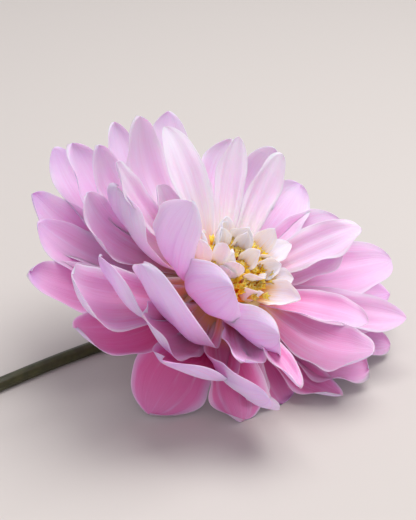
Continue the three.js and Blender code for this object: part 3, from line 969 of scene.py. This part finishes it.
# %% The bracts
BRACT_COUNT = 5
BRACT_HELD = (-35, -60, -80)
BRACT_CUP = (30, 25)
BRACT_WIDTH = 6.5


def bract(index):
    """One outer bract, a fifth of a turn from the last, with a seeded change."""
    seed = index + 60
    azimuth = 360 / BRACT_COUNT * index + 20 + 8 * draw(seed)
    length = 13 + 3 * draw(seed + 10)
    values = blade_values(
        seed, BRACT_HELD, azimuth, 5, CUP_BACK - 3.5, length, BRACT_WIDTH, cup=BRACT_CUP)
    values.update(pleat_depth=0.06, ruffle=0.15)
    return values


bract_sizes = dict(PETAL_SIZES, **{"Steps Along": 20, "Steps Across": 12, "Thickness": 0.68})
bracts = run_tree(
    "calyx_bracts", carrier("bracts", [bract(i) for i in range(BRACT_COUNT)]),
    PETALS_BY_RULE, bract_sizes, GREEN_FINISH)

# %% [markdown]
# ## The stem
#
# The neck leaves the cup along the bloom's axis, bends down and round, and lies on the
# table under its own weight. A tube swept along a smooth path gives it, with shallow ribs
# that run its length and a slight flat where it lies. Its points are set from the spot on
# the table under the bloom's heart, in the table's own directions.
# %% Path of the stem
elevation = math.radians(AXIS_ELEVATION)
axis = Vector((0, -math.cos(elevation), math.sin(elevation)))
neck = Vector((0, 0, HEART.z)) + axis * (NECK_BASE - CLEARANCE)
STRAIGHT_NECK = 9
LYING = STEM_RADIUS - STEM_SINK         # height of its middle where it lies
STEM_POINTS = [
    neck, neck - axis * STRAIGHT_NECK, Vector((-2, 24, 7.5)), Vector((-7.5, 34, 3)),
    Vector((-17, 41.5, LYING)), Vector((-30, 44, LYING)), Vector((-90, 48.5, LYING)),
]
PATH_STEPS = 20                         # between one point and the next


def smooth_path(points, steps):
    """Catmull-Rom curve with centripetal spacing through the points, as the solid's curve."""
    path = []
    ends = [2 * points[0] - points[1], *points, 2 * points[-1] - points[-2]]
    for i in range(1, len(ends) - 2):
        p = ends[i - 1:i + 3]
        gaps = [max((b - a).length, 1e-6) ** 0.5 for a, b in zip(p, p[1:])]
        before, here, after = (
            (b - a) / gap for a, b, gap in zip(p, p[1:], gaps))
        start = (before - (p[2] - p[0]) / (gaps[0] + gaps[1]) + here) * gaps[1]
        end = (here - (p[3] - p[1]) / (gaps[1] + gaps[2]) + after) * gaps[1]
        for k in range(steps):
            t = k / steps
            path.append(p[1] * (2 * t ** 3 - 3 * t * t + 1) + start * (t ** 3 - 2 * t * t + t)
                        + p[2] * (3 * t * t - 2 * t ** 3) + end * (t ** 3 - t * t))
    return [*path, points[-1]]


# %% Stem tree
STEM_SIZES = {
    "Radius": STEM_RADIUS,
    "Ribs": 9.0,
    "Rib Depth": 0.05,
    "Sides": 48,
    "Rings": 150,
    "Table Gap": 0.02,
}


def stem_tree():
    """Geometry Nodes tree that sweeps a ribbed ring along the path in its input mesh."""
    g, inlet = start_tree("stem along a path", STEM_SIZES)
    path = g.add("GeometryNodeMeshToCurve", None, {"Mesh": inlet["Geometry"]})
    path = g.add("GeometryNodeResampleCurve", None, {"Curve": path, "Count": inlet["Rings"]})
    ring = g.add("GeometryNodeCurvePrimitiveCircle", None, {
        "Resolution": inlet["Sides"], "Radius": inlet["Radius"]})
    angle = g.add("GeometryNodeInputIndex") * (2 * math.pi) / inlet["Sides"]
    rib = 1 + g.function("COSINE", angle * inlet["Ribs"]) * inlet["Rib Depth"] / inlet["Radius"]
    ring = moved(g, ring, g.add("GeometryNodeInputPosition") * rib)
    tube = g.add("GeometryNodeCurveToMesh", None, {
        "Curve": path, "Profile Curve": ring, "Fill Caps": True})
    x, y, z = g.parts(g.add("GeometryNodeInputPosition"))
    pressed = g.arrow(x, y, g.function("MAXIMUM", z, inlet["Table Gap"]))
    return end_tree(g, moved(g, tube, pressed * MILLIMETRE), inlet)


under_heart = Vector((HEART.x, HEART.y, 0))
path_points = [point + under_heart for point in smooth_path(STEM_POINTS, PATH_STEPS)]
path_mesh = bpy.data.meshes.new("stem path")
path_mesh.from_pydata(path_points, [(i, i + 1) for i in range(len(path_points) - 1)], [])
stem = run_tree("green_stem", path_mesh, stem_tree(), STEM_SIZES, STEM_FINISH)

# %% [markdown]
# ## Table, light and camera
#
# A plain pale table and soft studio light: one broad light high above, a little to the
# right, a weaker one from beside the camera, and an even pale surround that keeps shadows
# open. The camera looks from the front left and a little down, with a long lens.
# %% Table
TABLE_WIDTH = 6
bpy.ops.mesh.primitive_plane_add(size=TABLE_WIDTH)
table = bpy.context.object
table.name = "table"
table_material, _, table_surface = new_material("pale table")
set_constants(table_surface, base_color=linear(206, 200, 192), roughness=0.8)
table.data.materials.append(table_material)
table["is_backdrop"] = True


# %% Lights
LIGHT_TARGET = Vector((10, 0, 40)) * MILLIMETRE


def soft_light(name, power, size, place, colour):
    """A square light, in watts and metres, turned towards the bloom."""
    lamp = bpy.data.lights.new(name, "AREA")
    lamp.energy = power
    lamp.size = size
    lamp.color = colour
    holder = new_object(name, lamp)
    holder.location = place
    aim = LIGHT_TARGET - Vector(place)
    holder.rotation_euler = aim.to_track_quat("-Z", "Y").to_euler()


soft_light("window", 7.5, 0.7, (0.24, -0.06, 0.86), (0.98, 0.97, 1.0))
soft_light("fill", 1.7, 0.9, (-0.5, -0.6, 0.4), (1.0, 0.95, 1.0))
world = bpy.data.worlds.new("studio")
world.use_nodes = True
set_constants(world.node_tree.nodes["Background"], color=(0.95, 0.93, 1.0, 1), strength=0.47)
bpy.context.scene.world = world
bpy.context.scene.view_settings.view_transform = "Standard"

# %% Camera
CAMERA_AZIMUTH = math.radians(-45)
CAMERA_ELEVATION = math.radians(27)
CAMERA_TARGET = Vector((10.95, 0.51, 43.0)) * MILLIMETRE
CAMERA_DISTANCE = 0.55
CAMERA_LENS = 110.4                     # millimetres, on a sensor of full width
SENSOR_WIDTH = 36
towards = Vector((math.sin(CAMERA_AZIMUTH) * math.cos(CAMERA_ELEVATION),
                  -math.cos(CAMERA_AZIMUTH) * math.cos(CAMERA_ELEVATION),
                  math.sin(CAMERA_ELEVATION)))
lens = bpy.data.cameras.new("camera")
lens.lens = CAMERA_LENS
lens.sensor_width = SENSOR_WIDTH
lens.clip_start = 0.01
camera = new_object("camera", lens)
camera.location = CAMERA_TARGET + towards * CAMERA_DISTANCE
camera.rotation_euler = (-towards).to_track_quat("-Z", "Y").to_euler()
bpy.context.scene.camera = camera
print("camera at, mm:", [round(1000 * v) for v in camera.location])

# %% [markdown]
# ## The pieces on the flower's body
#
# Every piece rides on the flower's one body, and the solid it replaces is hidden.
# %% Bodies, replaced solids and finishes
for piece, node, slot in (
        (pinks, "ray_florets", "petal"),
        (cushion, "ray_florets", "petal"),
        (creams, "inner_ray_florets", "cream_petal"),
        (heart_plate, "inner_ray_florets", "cream_petal"),
        (florets, "disc_florets", "floret"),
        (disc_dome, "disc_florets", "floret"),
        (cup, "involucre", "calyx"),
        (bracts, "involucre", "calyx"),
        (stem, "stem", "stem")):
    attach(piece, "root")
    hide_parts(node)

# %% Sizes
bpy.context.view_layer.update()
faces = [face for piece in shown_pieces() if piece.type == "MESH" for face in piece.data.polygons]
print("triangles shown:", sum(len(face.vertices) - 2 for face in faces))
